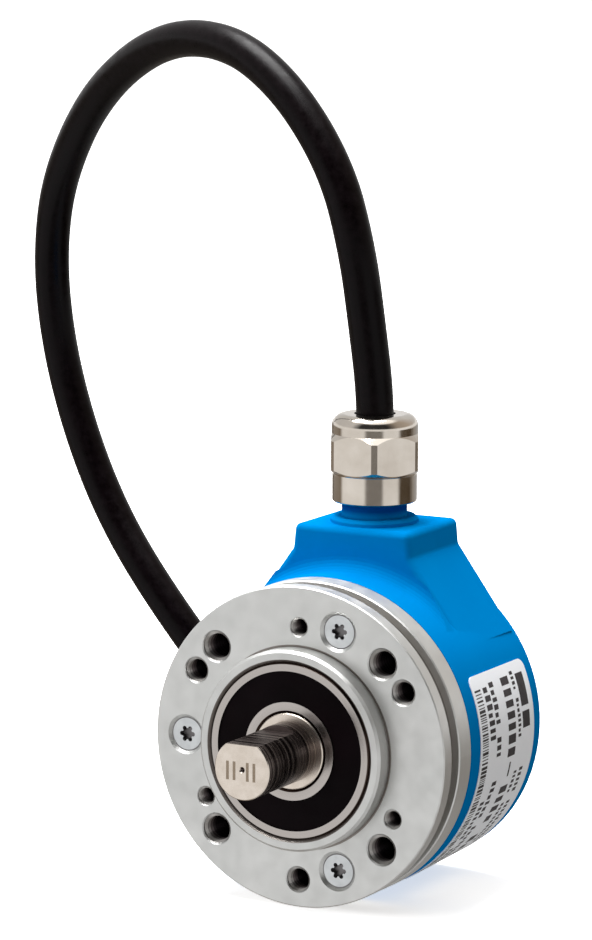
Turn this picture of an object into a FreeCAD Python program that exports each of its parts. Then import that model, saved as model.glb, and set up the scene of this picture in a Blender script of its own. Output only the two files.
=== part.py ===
import FreeCAD, Part
import math
import os

import Sketcher

# Rotary encoder, size 20: a solid 3/8 inch shaft, a round aluminium face-mount flange, a painted cup
# with a cable pedestal, and a cable that leaves upward. Millimetres, +Z up.
# The shaft turns about the Y axis. The origin is on that axis, in the flange's mounting face:
# the shaft end points to -Y, the cup lies on the +Y side.

FULL_TURN = 360
X_AXIS = FreeCAD.Vector(1, 0, 0)
Y_AXIS = FreeCAD.Vector(0, 1, 0)
Z_AXIS = FreeCAD.Vector(0, 0, 1)
ALONG_Y = FreeCAD.Rotation(X_AXIS, -90)      # turns a piece that stands on +Z to point along +Y

doc = FreeCAD.newDocument("RotaryEncoder")
sheet = doc.addObject("Spreadsheet::Sheet", "Dimensions")

DIMENSIONS = {
    # flange
    "flange_radius": 25.4, "flange_thickness": 9.2, "front_rim": 2.6, "groove_end": 5.2,
    "groove_radius": 23.9, "rim_chamfer": 0.18, "collar_radius": 15.875, "collar_height": 3.2,
    "collar_chamfer": 0.4, "relief_width": 0.35, "relief_depth": 0.15,
    "spigot_radius": 22.7, "spigot_end": 12.2,
    "boss_radius": 16.4, "boss_end": 18.4, "shoulder_bore": 12.0,
    # holes in the mounting face: circle radius, hole radius, depth
    "large_circle": 20.64, "large_hole": 2.413, "large_depth": 7.0, "large_mouth": 2.6,
    "medium_circle": 21.0, "medium_hole": 2.0, "medium_depth": 6.0, "medium_mouth": 2.15,
    "small_circle": 19.05, "small_hole": 1.5, "small_depth": 6.0, "small_mouth": 1.62,
    "screw_circle": 20.1, "screw_angle": 70, "screw_clearance": 1.55, "sink_mouth": 3.2,
    "sink_depth": 1.6,
    # countersunk flange screws
    "head_radius": 2.7, "head_face": 0.45, "head_cone": 1.21, "shank_radius": 1.45,
    "screw_end": 22.0, "star_core": 0.9, "star_lobe": 0.36, "star_circle": 0.98, "star_depth": 0.9,
    # shaft
    "shaft_radius": 4.7625, "shaft_end": 18.0, "end_chamfer": 0.15, "flat_depth": 0.9,
    "flat_length": 11.5, "centre_radius": 0.5, "seat_radius": 6.0, "seat_start": 3.24,
    "shaft_collar_radius": 7.0, "circlip_groove": 5.7, "circlip_start": 18.3, "circlip_width": 0.9,
    "circlip_radius": 7.3, "seat_end": 19.6, "tail_radius": 4.0, "tail_end": 26.4,
    # deep-groove bearings, 12 x 28 x 8
    "bearing_radius": 14.0, "bearing_width": 8.0, "bearing_chamfer": 0.3, "bore_chamfer": 0.44,
    "inner_land": 8.5, "inner_lip": 7.75, "outer_land": 11.6, "seal_seat": 12.62,
    "seal_gap": 0.05, "seal_face": 0.25, "seal_thickness": 0.8, "seal_pocket": 1.2,
    "pitch_radius": 10.0, "ball_radius": 2.381, "race_radius": 2.43, "cage_inner": 9.2,
    "cage_outer": 10.8, "cage_back": 2.0, "cage_rim": 2.9, "pocket_radius": 2.46,
    "front_bearing": -3.1, "rear_bearing": 10.2, "washer_start": 9.5, "washer_inner": 12.3,
    "washer_outer": 13.9,
    # code disc and its hub
    "hub_radius": 6.5, "hub_start": 19.8, "hub_flange": 9.0, "hub_flange_start": 22.4,
    "disc_start": 23.2, "disc_thickness": 0.6, "disc_radius": 14.5, "hub_nose": 5.0, "hub_end": 26.0,
    "clamp_radius": 8.5, "clamp_thickness": 0.9, "set_screw_radius": 1.0, "set_screw_length": 2.3,
    "set_screw_place": 21.1,
    # scanning head and board
    "emitter_width": 7.0, "emitter_inner": 10.6, "emitter_outer": 16.2, "emitter_end": 22.2,
    "lens_radius": 1.5, "lens_height": 0.5, "read_radius": 13.0, "sensor_width": 8.0,
    "sensor_inner": 10.5, "sensor_outer": 15.5, "sensor_start": 24.6,
    "board_start": 27.6, "board_thickness": 1.4, "board_radius": 21.0, "board_flat": 17.0,
    "board_notch": 4.2, "standoff_circle": 18.9, "standoff_radius": 1.8, "standoff_bore": 1.0,
    "standoff_angle": 10, "board_screw_radius": 0.95, "board_screw_head": 1.9,
    "board_screw_height": 1.1, "board_screw_length": 4.0,
    "connector_width": 12.0, "connector_bottom": 8.0, "connector_top": 13.0, "connector_depth": 3.2,
    # housing
    "cup_mouth": 25.4, "cup_radius": 24.8, "cup_end": 36.1, "cup_edge": 1.3,
    "cavity_radius": 22.75, "cavity_end": 34.3,
    "screw_boss": 3.2, "screw_boss_start": 12.3, "screw_boss_end": 24.0,
    "pedestal_half": 10.15, "pedestal_waist": 10.55, "pedestal_front": 17.0,
    "pedestal_back": 34.6, "pedestal_top": 32.0, "pedestal_side": 28.0, "pedestal_edge": 1.1,
    "front_fillet": 2.2,
    "neck_radius": 5.2, "neck_top": 35.2, "neck_base_radius": 7.0, "neck_base_height": 1.0,
    "entry_bore": 4.4, "o_ring_section": 0.4, "o_ring_start": 10.3, "o_ring_groove": 1.1,
    # label film
    "label_front": 12.5, "label_back": 32.4, "label_top_angle": 25.7, "label_sweep": 88,
    "label_film": 0.12, "label_corner": 1.5,
    # cable gland, its own axis stands on the pedestal
    "gland_place": 25.1, "stub_radius": 4.35, "stub_bottom": 23.0, "ring_radius": 6.74,
    "ring_bottom": 35.25, "ring_top": 39.95, "ring_chamfer": 0.25, "sleeve_radius": 5.0,
    "sleeve_top": 44.6, "passage_radius": 3.3, "grommet_seat": 38.0, "grommet_radius": 4.2,
    "grommet_top": 45.2, "thrust_top": 46.0, "nut_gap": 0.05, "nut_flats": 13.8,
    "nut_corner_radius": 7.7, "nut_corner_chamfer": 0.84, "nut_top_chamfer": 0.95,
    "nut_foot_chamfer": 0.6, "nut_hex_top": 46.2, "nut_top": 49.25,
    "nut_dome_radius": 6.86, "nut_dome_round": 1.9, "nut_mouth": 3.3, "nut_bore": 5.05,
    "nut_turn": -3,
    # cable
    "cable_radius": 3.0, "jacket_end": 21.8, "core_radius": 0.45, "floor_depth": 25.4,
    "coil_inner": 24.0, "coil_outer": 36.0, "coil_x": -47.0, "coil_y": 101.0,
    "tie_thickness": 0.8, "tie_width": 3.6, "lead_radius": 0.6, "lead_length": 26.0,
    "lead_x": -24.5, "lead_y": 111.5,
}

for row, (alias, value) in enumerate(DIMENSIONS.items(), start=1):
    sheet.set("A%d" % row, alias)
    sheet.set("B%d" % row, repr(value))
    sheet.setAlias("B%d" % row, alias)
doc.recompute()


class Size:
    """A number together with the sheet expression that it comes from."""

    def __init__(self, value, text):
        self.value = float(value)
        self.text = text

    def __add__(self, other):
        other = size(other)
        return Size(self.value + other.value, "(%s + %s)" % (self.text, other.text))

    def __sub__(self, other):
        other = size(other)
        return Size(self.value - other.value, "(%s - %s)" % (self.text, other.text))

    def __rsub__(self, other):
        return size(other) - self

    def __mul__(self, other):
        other = size(other)
        return Size(self.value * other.value, "(%s * %s)" % (self.text, other.text))

    def __truediv__(self, other):
        other = size(other)
        return Size(self.value / other.value, "(%s / %s)" % (self.text, other.text))

    def __neg__(self):
        return Size(-self.value, "(0 - %s)" % self.text)

    __radd__ = __add__
    __rmul__ = __mul__


def size(item):
    """A Size from a Size, a number or the name of a cell."""
    if isinstance(item, Size):
        return item
    if isinstance(item, str):
        return Size(DIMENSIONS[item], "Dimensions." + item)
    return Size(item, repr(item))


def cosine(angle):
    angle = size(angle)
    return Size(math.cos(math.radians(angle.value)), "cos(%s * 1 deg)" % angle.text)


def sine(angle):
    angle = size(angle)
    return Size(math.sin(math.radians(angle.value)), "sin(%s * 1 deg)" % angle.text)


def bind(item, name, amount):
    item.setExpression(name, size(amount).text)


def place(item, x=0, y=0, z=0, rotation=None):
    """Puts an object at a bound position, turned by a fixed rotation."""
    if rotation is not None:
        item.Placement = FreeCAD.Placement(FreeCAD.Vector(), rotation)
    for letter, amount in zip("xyz", (x, y, z)):
        bind(item, "Placement.Base." + letter, amount)
    return item


def primitive(kind, name, **sizes):
    item = doc.addObject("Part::" + kind, name)
    for key, amount in sizes.items():
        bind(item, key, amount)
    return item


def origin_plane(body, role):
    return next(part for part in body.Origin.OriginFeatures if part.Role == role)


def turned(name, outline, plane="XY_Plane"):
    """A body turned from a closed outline of (radius, place along the axis) points.

    On XY_Plane the axis is Y, on XZ_Plane it is Z.
    """
    body = doc.addObject("PartDesign::Body", name)
    sketch = body.newObject("Sketcher::SketchObject", name + "_outline")
    sketch.AttachmentSupport = [(origin_plane(body, plane), "")]
    sketch.MapMode = "FlatFace"
    points = [(size(radius), size(along)) for radius, along in outline]
    corners = [FreeCAD.Vector(radius.value, along.value, 0) for radius, along in points]
    count = len(corners)
    for index in range(count):
        sketch.addGeometry(Part.LineSegment(corners[index], corners[(index + 1) % count]), False)
    for index in range(count):
        sketch.addConstraint(Sketcher.Constraint("Coincident", index, 2, (index + 1) % count, 1))
    for index, (radius, along) in enumerate(points):
        bind_corner(sketch, index, "DistanceX", radius)
        bind_corner(sketch, index, "DistanceY", along)
    doc.recompute()
    turn = body.newObject("PartDesign::Revolution", name + "_turn")
    turn.Profile = sketch
    turn.ReferenceAxis = (sketch, ["V_Axis"])
    turn.Angle = FULL_TURN
    turn.Refine = False                      # every outline segment keeps a face of its own
    body.Tip = turn
    return body


def bind_corner(sketch, corner, direction, amount):
    """Holds one coordinate of a sketch corner to the sheet; a zero lies on the other axis."""
    if amount.value == 0:
        axis = -2 if direction == "DistanceX" else -1
        sketch.addConstraint(Sketcher.Constraint("PointOnObject", corner, 1, axis))
        return
    number = sketch.addConstraint(Sketcher.Constraint(direction, -1, 1, corner, 1, amount.value))
    sketch.setExpression("Constraints[%d]" % number, amount.text)


def padded(name, outline, start, end):
    """A body with a closed (x, z) outline, standing from y = start to y = end."""
    body = doc.addObject("PartDesign::Body", name)
    sketch = body.newObject("Sketcher::SketchObject", name + "_outline")
    sketch.AttachmentSupport = [(origin_plane(body, "XZ_Plane"), "")]
    sketch.MapMode = "FlatFace"
    points = [(size(x), size(z)) for x, z in outline]
    corners = [FreeCAD.Vector(x.value, z.value, 0) for x, z in points]
    count = len(corners)
    for index in range(count):
        sketch.addGeometry(Part.LineSegment(corners[index], corners[(index + 1) % count]), False)
    for index in range(count):
        sketch.addConstraint(Sketcher.Constraint("Coincident", index, 2, (index + 1) % count, 1))
    for index, (x, z) in enumerate(points):
        bind_corner(sketch, index, "DistanceX", x)
        bind_corner(sketch, index, "DistanceY", z)
    doc.recompute()
    pad = body.newObject("PartDesign::Pad", name + "_pad")
    pad.Profile = sketch
    pad.Reversed = True                      # the plane's normal is -Y
    bind(pad, "Length", size(end) - start)
    body.Tip = pad
    place(body, y=start)
    return body


def fuse(name, *parts):
    item = doc.addObject("Part::MultiFuse", name)
    item.Shapes = list(parts)
    return item


def cut(name, base, *tools):
    item = doc.addObject("Part::Cut", name)
    item.Base = base
    item.Tool = tools[0] if len(tools) == 1 else fuse(name + "_tools", *tools)
    return item


def common(name, first, second):
    item = doc.addObject("Part::MultiCommon", name)
    item.Shapes = [first, second]
    return item


def group(name, *parts):
    item = doc.addObject("Part::Compound", name)
    item.Links = list(parts)
    return item


def rounded(name, base, radius, chosen):
    """Rounds the edges of base for which chosen(edge) is true."""
    doc.recompute()
    item = doc.addObject("Part::Fillet", name)
    item.Base = base
    amount = size(radius).value
    edges = base.Shape.Edges
    item.Edges = [(number + 1, amount, amount) for number, edge in enumerate(edges) if chosen(edge)]
    return item


def rod(name, radius, start, end, x=0, z=0):
    """A cylinder along Y."""
    item = primitive("Cylinder", name, Radius=radius, Height=size(end) - start)
    return place(item, x, start, z, ALONG_Y)


def cone(name, radius_start, radius_end, start, end, x=0, z=0):
    """A cone along Y."""
    item = primitive("Cone", name, Radius1=radius_start, Radius2=radius_end, Height=size(end) - start)
    return place(item, x, start, z, ALONG_Y)


def block(name, x_range, y_range, z_range):
    low = [size(pair[0]) for pair in (x_range, y_range, z_range)]
    high = [size(pair[1]) for pair in (x_range, y_range, z_range)]
    item = primitive("Box", name, Length=high[0] - low[0], Width=high[1] - low[1],
                     Height=high[2] - low[2])
    return place(item, *low)


def ring_bead(name, ring_radius, section_radius, along):
    """A torus round the Y axis."""
    item = primitive("Torus", name, Radius1=ring_radius, Radius2=section_radius)
    return place(item, y=along, rotation=ALONG_Y)


def round_path(points, report=""):
    """A wire of straight runs joined by tangent arcs, each as large as its two runs allow."""
    points = [FreeCAD.Vector(*point) for point in points]
    edges = []
    last = points[0]
    radii = []
    for before, corner, after in zip(points, points[1:], points[2:]):
        run_in = corner - before
        run_out = after - corner
        turn = run_in.getAngle(run_out)
        setback = 0.45 * min(run_in.Length, run_out.Length)
        radius = setback / math.tan(turn / 2)
        radii.append(radius)
        way_in = FreeCAD.Vector(run_in).normalize()
        way_out = FreeCAD.Vector(run_out).normalize()
        arc_start = corner - way_in * setback
        arc_end = corner + way_out * setback
        inward = FreeCAD.Vector(way_out - way_in).normalize()
        middle = corner + inward * (radius / math.cos(turn / 2) - radius)
        edges.append(Part.LineSegment(last, arc_start).toShape())
        edges.append(Part.Arc(arc_start, middle, arc_end).toShape())
        last = arc_end
    edges.append(Part.LineSegment(last, points[-1]).toShape())
    if report:
        print(report, "bend radii", " ".join("%.1f" % radius for radius in radii))
    return Part.Wire(edges)


def tube(points, radius, report=""):
    """A solid round tube along a rounded path, checked against section times length."""
    path = round_path(points, report)
    start = FreeCAD.Vector(*points[0])
    heading = FreeCAD.Vector(*points[1]) - start
    section = Part.Wire([Part.Circle(start, heading, radius).toShape()])
    solid = path.makePipeShell([section], True, True)
    expected = math.pi * radius ** 2 * path.Length
    if report:
        print(report, "length %.1f" % path.Length, "volume ratio %.4f" % (solid.Volume / expected))
    return solid


def shaped(name, shape):
    item = doc.addObject("Part::Feature", name)
    item.Shape = shape
    return item


def at_height(level):
    return lambda edge: all(abs(vertex.Z - level) < 0.01 for vertex in edge.Vertexes)


def polar(circle, angle):
    """The (x, z) place at an angle on a circle round the shaft axis."""
    return size(circle) * cosine(angle), size(circle) * sine(angle)


# ---------------------------------------------------------------- flange

SCREW_ANGLES = (size("screw_angle"), size(180), size(0) - "screw_angle")


def hole_tools(kind, angles):
    """Blind holes with chamfered mouths, on one circle in the mounting face."""
    tools = []
    hole, mouth = size(kind + "_hole"), size(kind + "_mouth")
    for number, angle in enumerate(angles):
        x, z = polar(kind + "_circle", angle)
        name = "%s_hole_%d" % (kind, number)
        tools.append(rod(name, hole, 0, kind + "_depth", x, z))
        tools.append(cone(name + "_mouth", mouth, hole, 0, mouth - hole, x, z))
    return tools


def make_flange():
    rim, chamfer = size("flange_radius"), size("rim_chamfer")
    thickness, front, back = size("flange_thickness"), size("front_rim"), size("groove_end")
    collar, height, bore = size("collar_radius"), size("collar_height"), size("bearing_radius")
    relief = size("relief_width")
    o_ring, o_width = size("o_ring_start"), size("o_ring_groove")
    o_bottom = size("spigot_radius") - 2 * size("o_ring_section")
    shoulder_front = size("front_bearing") + "bearing_width"
    outline = [
        (bore + "collar_chamfer", -height), (collar - "collar_chamfer", -height),
        (collar, -height + "collar_chamfer"), (collar, "relief_depth"),
        (collar + relief, "relief_depth"), (collar + relief, 0),
        (rim - chamfer, 0), (rim, chamfer), (rim, front - chamfer), (rim - chamfer, front),
        ("groove_radius", front), ("groove_radius", back), (rim - chamfer, back),
        (rim, back + chamfer), (rim, thickness - chamfer), (rim - chamfer, thickness),
        ("spigot_radius", thickness), ("spigot_radius", o_ring), (o_bottom, o_ring),
        (o_bottom, o_ring + o_width), ("spigot_radius", o_ring + o_width),
        ("spigot_radius", "spigot_end"), ("boss_radius", "spigot_end"), ("boss_radius", "boss_end"),
        (bore, "boss_end"), (bore, "washer_start"), ("shoulder_bore", "washer_start"),
        ("shoulder_bore", shoulder_front), (bore, shoulder_front),
        (bore, -height + "collar_chamfer"),
    ]
    blank = turned("flange_blank", outline)
    tools = hole_tools("large", (45, 135, 225, 315))
    tools += hole_tools("medium", (30, 150, 270))
    tools += hole_tools("small", (90, 210, 330))
    for number, angle in enumerate(SCREW_ANGLES):
        x, z = polar("screw_circle", angle)
        tools.append(rod("flange_screw_way_%d" % number, "screw_clearance", 0, "spigot_end", x, z))
        tools.append(cone("flange_sink_%d" % number, "sink_mouth", "screw_clearance", 0, "sink_depth",
                          x, z))
    for number in range(3):
        x, z = polar("standoff_circle", size("standoff_angle") + 120 * number)
        tools.append(rod("standoff_tap_%d" % number, "standoff_bore", size("spigot_end") - 3.0,
                         "spigot_end", x, z))
    return cut("flange", blank, *tools)


def make_flange_screws():
    """Three countersunk screws with six-lobed sockets."""
    screws = []
    face, cone_height = size("head_face"), size("head_cone")
    for number, angle in enumerate(SCREW_ANGLES):
        x, z = polar("screw_circle", angle)
        name = "flange_screw_%d" % number
        head = cone(name + "_head", "head_radius", "shank_radius", face, face + cone_height, x, z)
        shank = rod(name + "_shank", "shank_radius", face, "screw_end", x, z)
        socket_end = face + "star_depth"
        star = [rod(name + "_star", "star_core", face, socket_end, x, z)]
        for lobe in range(6):
            dx, dz = polar("star_circle", 60 * lobe)
            star.append(rod("%s_lobe_%d" % (name, lobe), "star_lobe", face, socket_end, x + dx, z + dz))
        screws.append(cut(name, fuse(name + "_blank", head, shank), *star))
    return group("flange_screws", *screws)


# ---------------------------------------------------------------- shaft and bearings

SHAFT_SEAM = -22.5                           # keeps the turned surface's seam clear of the flat


def make_shaft():
    end, chamfer = size("shaft_end"), size("end_chamfer")
    radius, seat, start = size("shaft_radius"), size("seat_radius"), size("seat_start")
    front_shoulder = size("front_bearing") + "bearing_width"
    clip, clip_end = size("circlip_start"), size("circlip_start") + "circlip_width"
    tail, tail_end = size("tail_radius"), size("tail_end")
    outline = [
        (0, -end + "centre_radius"), ("centre_radius", -end), (radius - chamfer, -end),
        (radius, -end + chamfer), (radius, -start),
        (seat - 0.15, -start), (seat, -start + 0.15),
        (seat, front_shoulder), ("shaft_collar_radius", front_shoulder),
        ("shaft_collar_radius", "rear_bearing"), (seat, "rear_bearing"), (seat, clip),
        ("circlip_groove", clip), ("circlip_groove", clip_end), (seat, clip_end),
        (seat, "seat_end"), (tail, "seat_end"), (tail, tail_end - chamfer),
        (tail - chamfer, tail_end), (0, tail_end),
    ]
    bar = turned("shaft_bar", outline)
    bar.Placement.Rotation = FreeCAD.Rotation(Y_AXIS, SHAFT_SEAM)
    flat_floor = radius - "flat_depth"
    flat = block("shaft_flat", (-radius, radius), (-end, -end + "flat_length"),
                 (flat_floor, radius + 1))
    return cut("shaft", bar, flat)


def make_bearing(name, start):
    """A sealed deep-groove bearing: rings, balls, snap cage and two seals."""
    start = size(start)
    end, middle = start + "bearing_width", start + size("bearing_width") / 2
    chamfer, pocket = size("bearing_chamfer"), size("seal_pocket")
    outer = turned(name + "_outer_blank", [
        ("bearing_radius", start + chamfer), (size("bearing_radius") - chamfer, start),
        ("seal_seat", start), ("seal_seat", start + pocket), ("outer_land", start + pocket),
        ("outer_land", end - pocket), ("seal_seat", end - pocket), ("seal_seat", end),
        (size("bearing_radius") - chamfer, end), ("bearing_radius", end - chamfer)])
    bore, bore_chamfer = size("seat_radius"), size("bore_chamfer")
    inner = turned(name + "_inner_blank", [
        (bore, start + bore_chamfer), (bore + bore_chamfer, start), ("inner_lip", start),
        ("inner_lip", start + pocket), ("inner_land", start + pocket),
        ("inner_land", end - pocket), ("inner_lip", end - pocket), ("inner_lip", end),
        (bore + bore_chamfer, end), (bore, end - bore_chamfer)])
    parts = []
    for blank, label in ((outer, "outer_ring"), (inner, "inner_ring")):
        race = ring_bead("%s_%s_race" % (name, label), "pitch_radius", "race_radius", middle)
        parts.append(cut("%s_%s" % (name, label), blank, race))
    balls, pockets = [], []
    for number in range(8):
        x, z = polar("pitch_radius", 45 * number)
        balls.append(place(primitive("Sphere", "%s_ball_%d" % (name, number), Radius="ball_radius"),
                           x, middle, z))
        pocket = primitive("Cylinder", "%s_pocket_%d" % (name, number), Radius="pocket_radius",
                           Height=4)
        start_x, start_z = polar(size("pitch_radius") - 2, 45 * number)
        radial = FreeCAD.Rotation(Y_AXIS, 90 - 45 * number)
        pockets.append(place(pocket, start_x, middle, start_z, radial))
    parts.append(group(name + "_balls", *balls))
    cage = turned(name + "_cage_blank", [
        ("cage_inner", middle - "cage_back"), ("cage_outer", middle - "cage_back"),
        ("cage_outer", middle + "cage_rim"), ("cage_inner", middle + "cage_rim")])
    parts.append(cut(name + "_cage", cage, *pockets))
    face, thick = size("seal_face"), size("seal_thickness")
    seal_inner = size("inner_lip") + "seal_gap"
    for label, low in (("outboard_seal", start + face), ("inboard_seal", end - face - thick)):
        parts.append(turned("%s_%s" % (name, label), [
            (seal_inner, low), ("seal_seat", low), ("seal_seat", low + thick),
            (seal_inner, low + thick)]))
    return parts


def washer(name, inner, outer, start, end):
    """A plain ring round the shaft axis."""
    return turned(name, [(inner, start), (outer, start), (outer, end), (inner, end)])


# ---------------------------------------------------------------- code disc and scanning unit

def make_disc_hub():
    disc_back = size("disc_start") + "disc_thickness"
    hub = turned("disc_hub_blank", [
        ("tail_radius", "hub_start"), ("hub_radius", "hub_start"),
        ("hub_radius", "hub_flange_start"), ("hub_flange", "hub_flange_start"),
        ("hub_flange", "disc_start"), ("hub_nose", "disc_start"), ("hub_nose", "hub_end"),
        ("tail_radius", "hub_end")])
    taps = []
    for number, side in enumerate((1, -1)):
        tap = primitive("Cylinder", "hub_tap_%d" % number, Radius="set_screw_radius", Height=4)
        turn = FreeCAD.Rotation(Y_AXIS, 90 * side)
        taps.append(place(tap, size("tail_radius") * side - 1.0 * side, "set_screw_place", 0, turn))
    return [cut("disc_hub", hub, *taps), disc_back]


def make_set_screws():
    screws = []
    for number, side in enumerate((1, -1)):
        name = "set_screw_%d" % number
        body = primitive("Cylinder", name + "_body", Radius="set_screw_radius",
                         Height="set_screw_length")
        turn = FreeCAD.Rotation(Y_AXIS, 90 * side)
        place(body, size("tail_radius") * side, "set_screw_place", 0, turn)
        key = primitive("Prism", name + "_key", Circumradius=0.5, Height=1.0)
        key.Polygon = 6
        outer_face = size("tail_radius") + "set_screw_length"
        place(key, (outer_face - 0.9) * side, "set_screw_place", 0, turn)
        screws.append(cut(name, body, key))
    return group("hub_set_screws", *screws)


def make_scanning_unit():
    half = size("emitter_width") / 2
    inner, outer = size("emitter_inner"), size("emitter_outer")
    end, read = size("emitter_end"), size("read_radius")
    holder = block("emitter_block", (-half, half), ("boss_end", end), (-outer, -inner))
    window = rod("emitter_window", "lens_radius", end - 1.0, end, 0, -read)
    lens = rod("emitter_lens", "lens_radius", end - 1.0, end + "lens_height", 0, -read)
    half = size("sensor_width") / 2
    head = block("sensor_head", (-half, half), ("sensor_start", "board_start"),
                 (-size("sensor_outer"), -size("sensor_inner")))
    return [cut("emitter_holder", holder, window), lens, head]


def standoff_places():
    return [polar("standoff_circle", size("standoff_angle") + 120 * number) for number in range(3)]


def make_board():
    start, end = size("board_start"), size("board_start") + "board_thickness"
    radius, flat = size("board_radius"), size("board_flat")
    plate = rod("board_plate", radius, start, end)
    tools = [block("board_top_cut", (-radius, radius), (start, end), (flat, radius + 1))]
    for number, angle in enumerate(SCREW_ANGLES):
        x, z = polar("screw_circle", angle)
        tools.append(rod("board_notch_%d" % number, "board_notch", start, end, x, z))
    for number, (x, z) in enumerate(standoff_places()):
        tools.append(rod("board_hole_%d" % number, "standoff_bore", start, end, x, z))
    return cut("circuit_board", plate, *tools)


def make_board_fixings():
    standoffs, screws = [], []
    start, end = size("board_start"), size("board_start") + "board_thickness"
    for number, (x, z) in enumerate(standoff_places()):
        name = "standoff_%d" % number
        post = rod(name + "_post", "standoff_radius", "spigot_end", start, x, z)
        stem = rod(name + "_stem", "standoff_bore", size("spigot_end") - 2.8, "spigot_end", x, z)
        bore = rod(name + "_bore", "standoff_bore", start - 5.0, start, x, z)
        standoffs.append(cut(name, fuse(name + "_blank", post, stem), bore))
        name = "board_screw_%d" % number
        shank = rod(name + "_shank", "board_screw_radius", end - "board_screw_length", end, x, z)
        head = rod(name + "_head", "board_screw_head", end, end + "board_screw_height", x, z)
        slot = block(name + "_slot", (x - 2, x + 2), (end + 0.5, end + "board_screw_height"),
                     (z - 0.25, z + 0.25))
        screws.append(cut(name, fuse(name + "_blank", shank, head), slot))
    return [group("board_standoffs", *standoffs), group("board_screws", *screws)]


def make_board_components():
    """Packages on the back of the board: (x, z, width, height, thickness)."""
    back = size("board_start") + "board_thickness"
    packages = [(9.5, -1.0, 6.0, 6.0, 1.2), (-9.5, -2.0, 5.0, 4.0, 1.6), (0.0, -9.5, 4.0, 5.0, 1.1),
                (9.0, -8.5, 2.0, 1.25, 0.8), (-4.5, 1.0, 2.0, 1.25, 0.8), (4.5, 1.5, 1.25, 2.0, 0.8)]
    blocks = []
    for number, (x, z, width, height, thick) in enumerate(packages):
        blocks.append(block("package_%d" % number, (x - width / 2, x + width / 2),
                            (back, back + thick), (z - height / 2, z + height / 2)))
    half = size("connector_width") / 2
    connector = block("lead_connector", (-half, half), (back, back + "connector_depth"),
                      ("connector_bottom", "connector_top"))
    return [group("board_components", *blocks), connector]


CORE_OFFSETS = [(1.3 * math.cos(math.radians(60 * turn)), 1.3 * math.sin(math.radians(60 * turn)))
                for turn in range(6)]


def make_inner_leads():
    """Six cores that leave the jacket and pass the board's flat to the connector."""
    top, radius = DIMENSIONS["jacket_end"], DIMENSIONS["core_radius"]
    axis = DIMENSIONS["gland_place"]
    lane = DIMENSIONS["board_start"] + DIMENSIONS["board_thickness"] + 1.6
    bottom = DIMENSIONS["connector_top"]
    order = sorted(CORE_OFFSETS, key=lambda offset: (offset[0], offset[1]))
    cores = []
    for number, (x, y) in enumerate(order):
        end_x = (number - 2.5) * 1.6
        route = [(x, axis + y, top), (x, axis + y, top - 1.2), (end_x, lane, top - 4.0),
                 (end_x, lane, bottom)]
        cores.append(shaped("inner_lead_%d" % number, tube(route, radius)))
    return group("inner_leads", *cores)


# ---------------------------------------------------------------- housing

def cup_at(place_along):
    """The cup's outside radius, which draws in from the flange to the rear edge."""
    mouth, start = size("cup_mouth"), size("flange_thickness")
    length = size("cup_end") - "cup_edge" - start
    return mouth - (mouth - "cup_radius") * (size(place_along) - start) / length


def pedestal_outline():
    """Flat top, steep sides, then faces that lean out until they touch the round cup."""
    half, waist = size("pedestal_half"), size("pedestal_waist")
    top, side, radius = size("pedestal_top"), size("pedestal_side"), cup_at("gland_place")
    reach = math.hypot(waist.value, side.value)
    lean = math.degrees(math.atan2(side.value, waist.value) - math.acos(radius.value / reach))
    touch_x, touch_z = radius * cosine(lean), radius * sine(lean)
    return [(half, top), (waist, side), (touch_x, touch_z), (-touch_x, touch_z), (-waist, side),
            (-half, top)]


def pedestal_edge(edge):
    """Every edge of the pedestal that meets its top or its upright sides."""
    return any(vertex.Z > DIMENSIONS["pedestal_side"] - 0.01 for vertex in edge.Vertexes)


def make_housing():
    radius, end = size("cup_radius"), size("cup_end")
    edge = size("cup_edge")
    start = size("flange_thickness")
    cup = turned("cup_body", [(0, start), ("cup_mouth", start), (radius, end - edge),
                              (radius - 0.293 * edge, end - 0.293 * edge), (radius - edge, end),
                              (0, end)])
    front, fillet = size("pedestal_front"), size("front_fillet")
    block_outline = pedestal_outline()
    pedestal = padded("pedestal_block", block_outline, front, "pedestal_back")
    pedestal = rounded("pedestal_rounded", pedestal, "pedestal_edge", pedestal_edge)
    apron = padded("apron_block", block_outline, front - fillet, front)
    foot = cup_at(front - fillet)
    sweep = [(foot - 0.5, front - fillet), (foot, front - fillet)]
    for step in range(1, 7):
        angle = 15 * step
        sweep.append((foot + fillet * (size(1) - cosine(angle)), front - fillet + fillet * sine(angle)))
    sweep.append((foot - 0.5, front))
    apron = common("apron", apron, turned("apron_ring", sweep))
    neck = turned("neck_body", [
        (0, "pedestal_side"), ("neck_base_radius", "pedestal_side"),
        ("neck_base_radius", size("pedestal_top") + size("neck_base_height") - 0.5),
        (size("neck_base_radius") - 0.5, size("pedestal_top") + "neck_base_height"),
        ("neck_radius", size("pedestal_top") + "neck_base_height"), ("neck_radius", "neck_top"),
        (0, "neck_top")], "XZ_Plane")
    place(neck, y="gland_place")
    outside = fuse("housing_outside", cup, pedestal, apron, neck)
    cavity = rod("housing_cavity", "cavity_radius", start, "cavity_end")
    bore = primitive("Cylinder", "entry_bore_tool", Radius="entry_bore", Height=size("neck_top") - 15)
    place(bore, y="gland_place", z=15)
    shell = cut("housing_shell", outside, cavity, bore)
    bosses, taps = [], []
    for number, angle in enumerate(SCREW_ANGLES):
        x, z = polar("screw_circle", angle)
        bosses.append(rod("cup_boss_%d" % number, "screw_boss", "screw_boss_start", "screw_boss_end",
                          x, z))
        taps.append(rod("cup_tap_%d" % number, "shank_radius", "screw_boss_start", "screw_end", x, z))
    return cut("housing", fuse("housing_with_bosses", shell, *bosses), *taps)


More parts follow.
